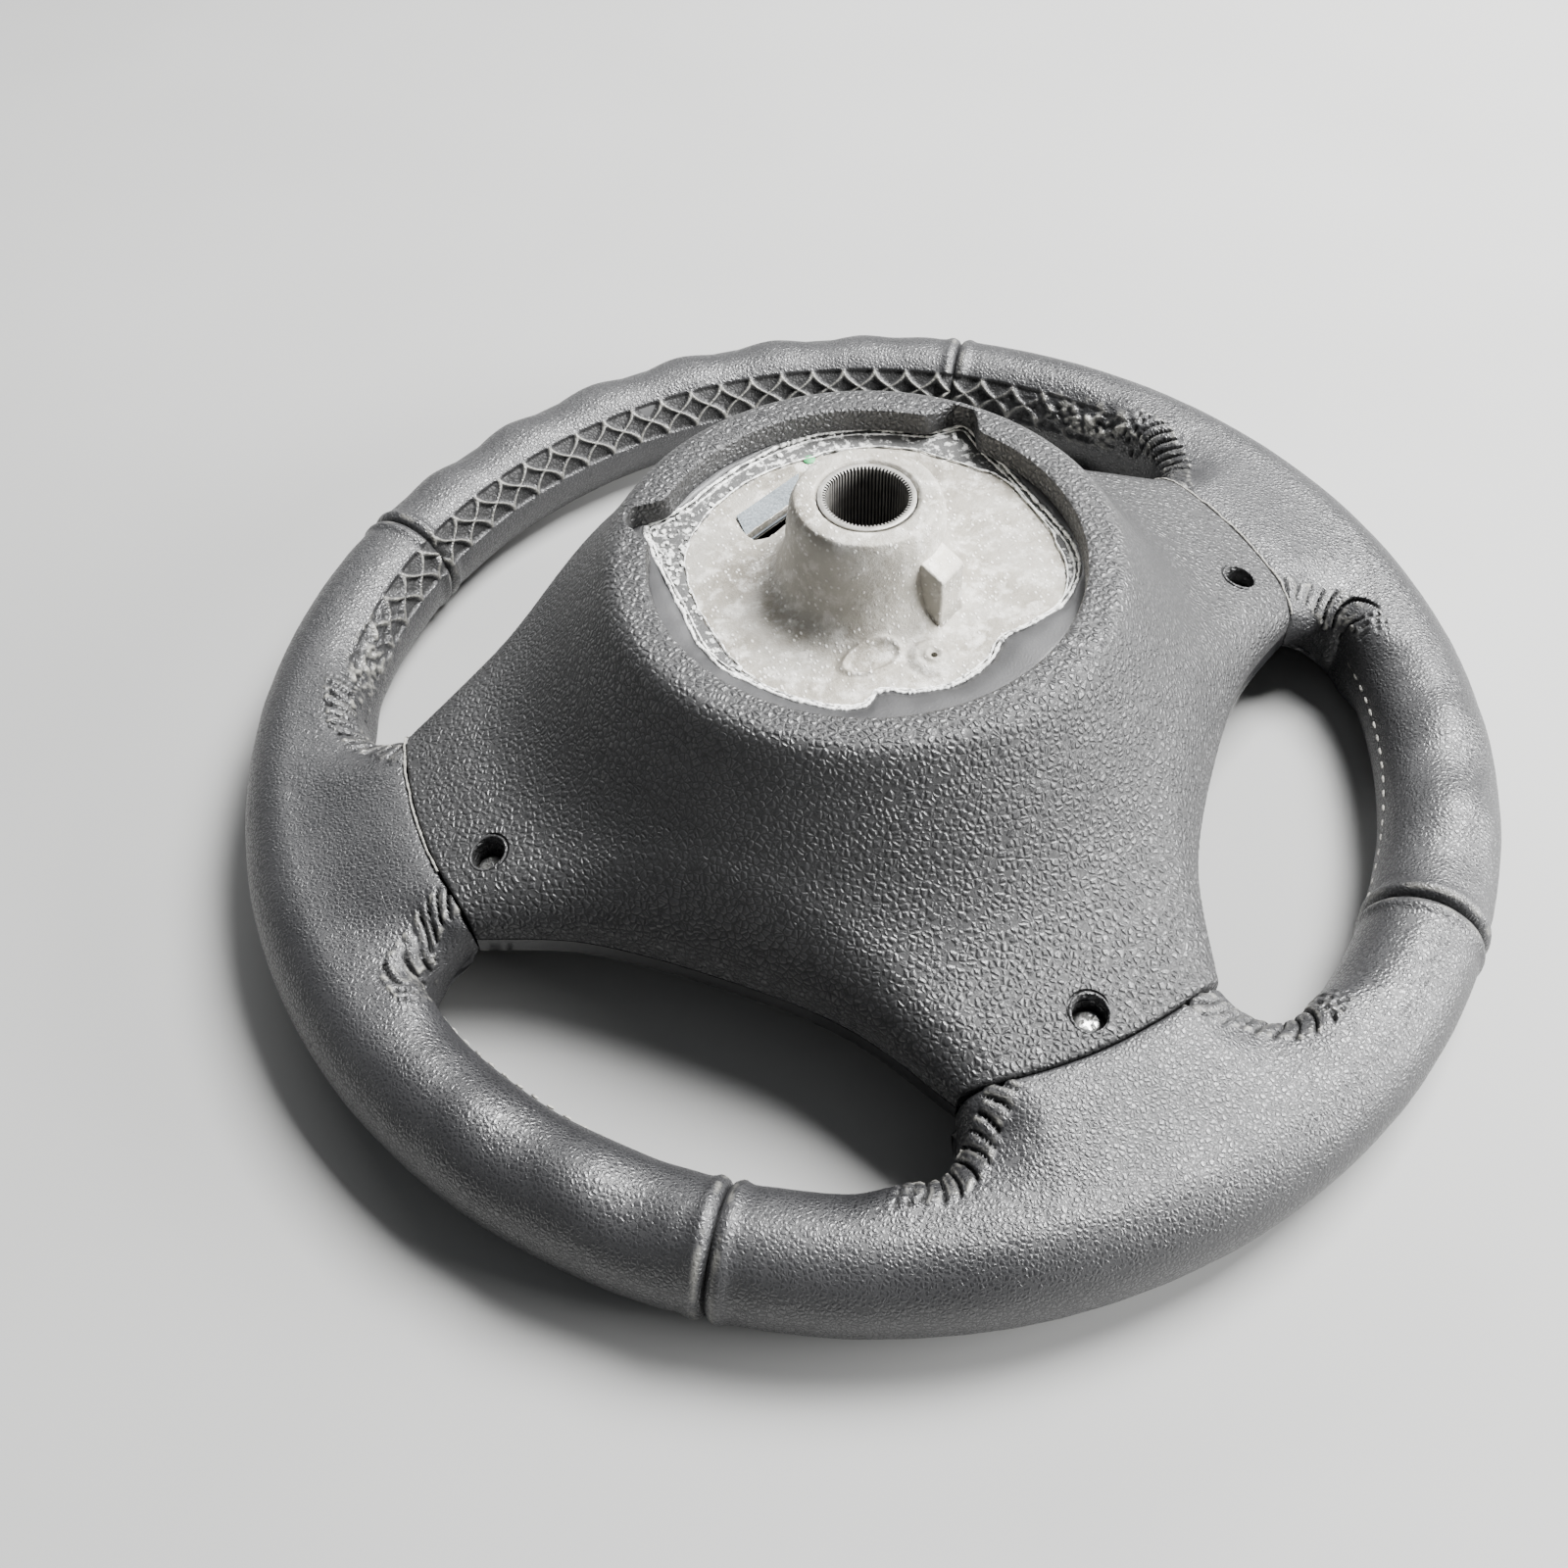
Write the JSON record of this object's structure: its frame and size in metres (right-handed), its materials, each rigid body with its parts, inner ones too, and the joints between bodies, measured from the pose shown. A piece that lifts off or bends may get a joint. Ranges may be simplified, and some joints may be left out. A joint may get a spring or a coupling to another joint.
{
  "type": "steering wheel",
  "caption": "Leather-wrapped car steering wheel with a splined hub boss, a grained rear cover, a sprung horn pad and switch pods.",
  "frame": {"origin": "on the steering axis, in the plane that the rim rests on when the wheel lies on its face", "axes": "+Z along the steering axis towards the column, +Y towards the top of the wheel, +X to the right as seen from the column"},
  "size_m": [0.37, 0.37, 0.1106],
  "materials": {
    "rim_leather": "pebbled, semi-gloss, worn smooth at the top",
    "foam": "smooth matt skin",
    "steel": "zinc plated",
    "dark_steel": "broached and oiled",
    "grained_plastic": "moulded leather grain",
    "gloss_trim": "dark gloss",
    "cast_magnesium": "bare die casting, dull and spotted",
    "pad_plastic": "moulded fine grain",
    "bag_fabric": "woven",
    "inflator_metal": "satin",
    "switch_plastic": "satin",
    "button_plastic": "soft gloss",
    "circuit_board": "green lacquer"
  },
  "bodies": {
    "wheel": {"leather_top": "rim_leather", "leather_left": "rim_leather", "leather_bottom": "rim_leather", "leather_right": "rim_leather", "rim_foam": "foam", "rim_core": "steel", "rear_cover": "grained_plastic", "cover_ring": "grained_plastic", "front_trim": "gloss_trim", "hub_casting": "cast_magnesium", "spline_sleeve": "dark_steel", "foam_ledge": "foam", "spoke_screw_right": "steel", "spoke_screw_left": "steel", "spoke_screw_bottom": "steel", "horn_spring_top_left": "steel", "horn_spring_top_right": "steel", "horn_spring_bottom": "steel", "switch_pod_right": "switch_plastic", "switch_pod_left": "switch_plastic", "switch_board_right": "circuit_board", "switch_board_left": "circuit_board"},
    "horn_module": {"horn_pad": "pad_plastic", "bag_housing": "steel", "folded_bag": "bag_fabric", "inflator": "inflator_metal", "guide_pin_top_left": "steel", "guide_pin_top_right": "steel", "guide_pin_bottom": "steel"},
    "button_right_upper": {"button_right_upper": "button_plastic"},
    "button_right_middle": {"button_right_middle": "button_plastic"},
    "button_right_lower": {"button_right_lower": "button_plastic"},
    "button_left_upper": {"button_left_upper": "button_plastic"},
    "button_left_middle": {"button_left_middle": "button_plastic"},
    "button_left_lower": {"button_left_lower": "button_plastic"}
  },
  "joints": [
    {"name": "horn_press", "type": "slide", "parent": "wheel", "child": "horn_module", "axis": [0, 0, 1], "range_m": [0, 0.002], "stiffness_N_per_m": 6000, "springref_m": -0.003, "deforming": ["horn_spring_top_left", "horn_spring_top_right", "horn_spring_bottom"]},
    {"name": "press_right_upper", "type": "slide", "parent": "wheel", "child": "button_right_upper", "axis": [0, 0, 1], "range_m": [0, 0.001], "stiffness_N_per_m": 1500, "springref_m": -0.001},
    {"name": "press_right_middle", "type": "slide", "parent": "wheel", "child": "button_right_middle", "axis": [0, 0, 1], "range_m": [0, 0.001], "stiffness_N_per_m": 1500, "springref_m": -0.001},
    {"name": "press_right_lower", "type": "slide", "parent": "wheel", "child": "button_right_lower", "axis": [0, 0, 1], "range_m": [0, 0.001], "stiffness_N_per_m": 1500, "springref_m": -0.001},
    {"name": "press_left_upper", "type": "slide", "parent": "wheel", "child": "button_left_upper", "axis": [0, 0, 1], "range_m": [0, 0.001], "stiffness_N_per_m": 1500, "springref_m": -0.001},
    {"name": "press_left_middle", "type": "slide", "parent": "wheel", "child": "button_left_middle", "axis": [0, 0, 1], "range_m": [0, 0.001], "stiffness_N_per_m": 1500, "springref_m": -0.001},
    {"name": "press_left_lower", "type": "slide", "parent": "wheel", "child": "button_left_lower", "axis": [0, 0, 1], "range_m": [0, 0.001], "stiffness_N_per_m": 1500, "springref_m": -0.001}
  ]
}
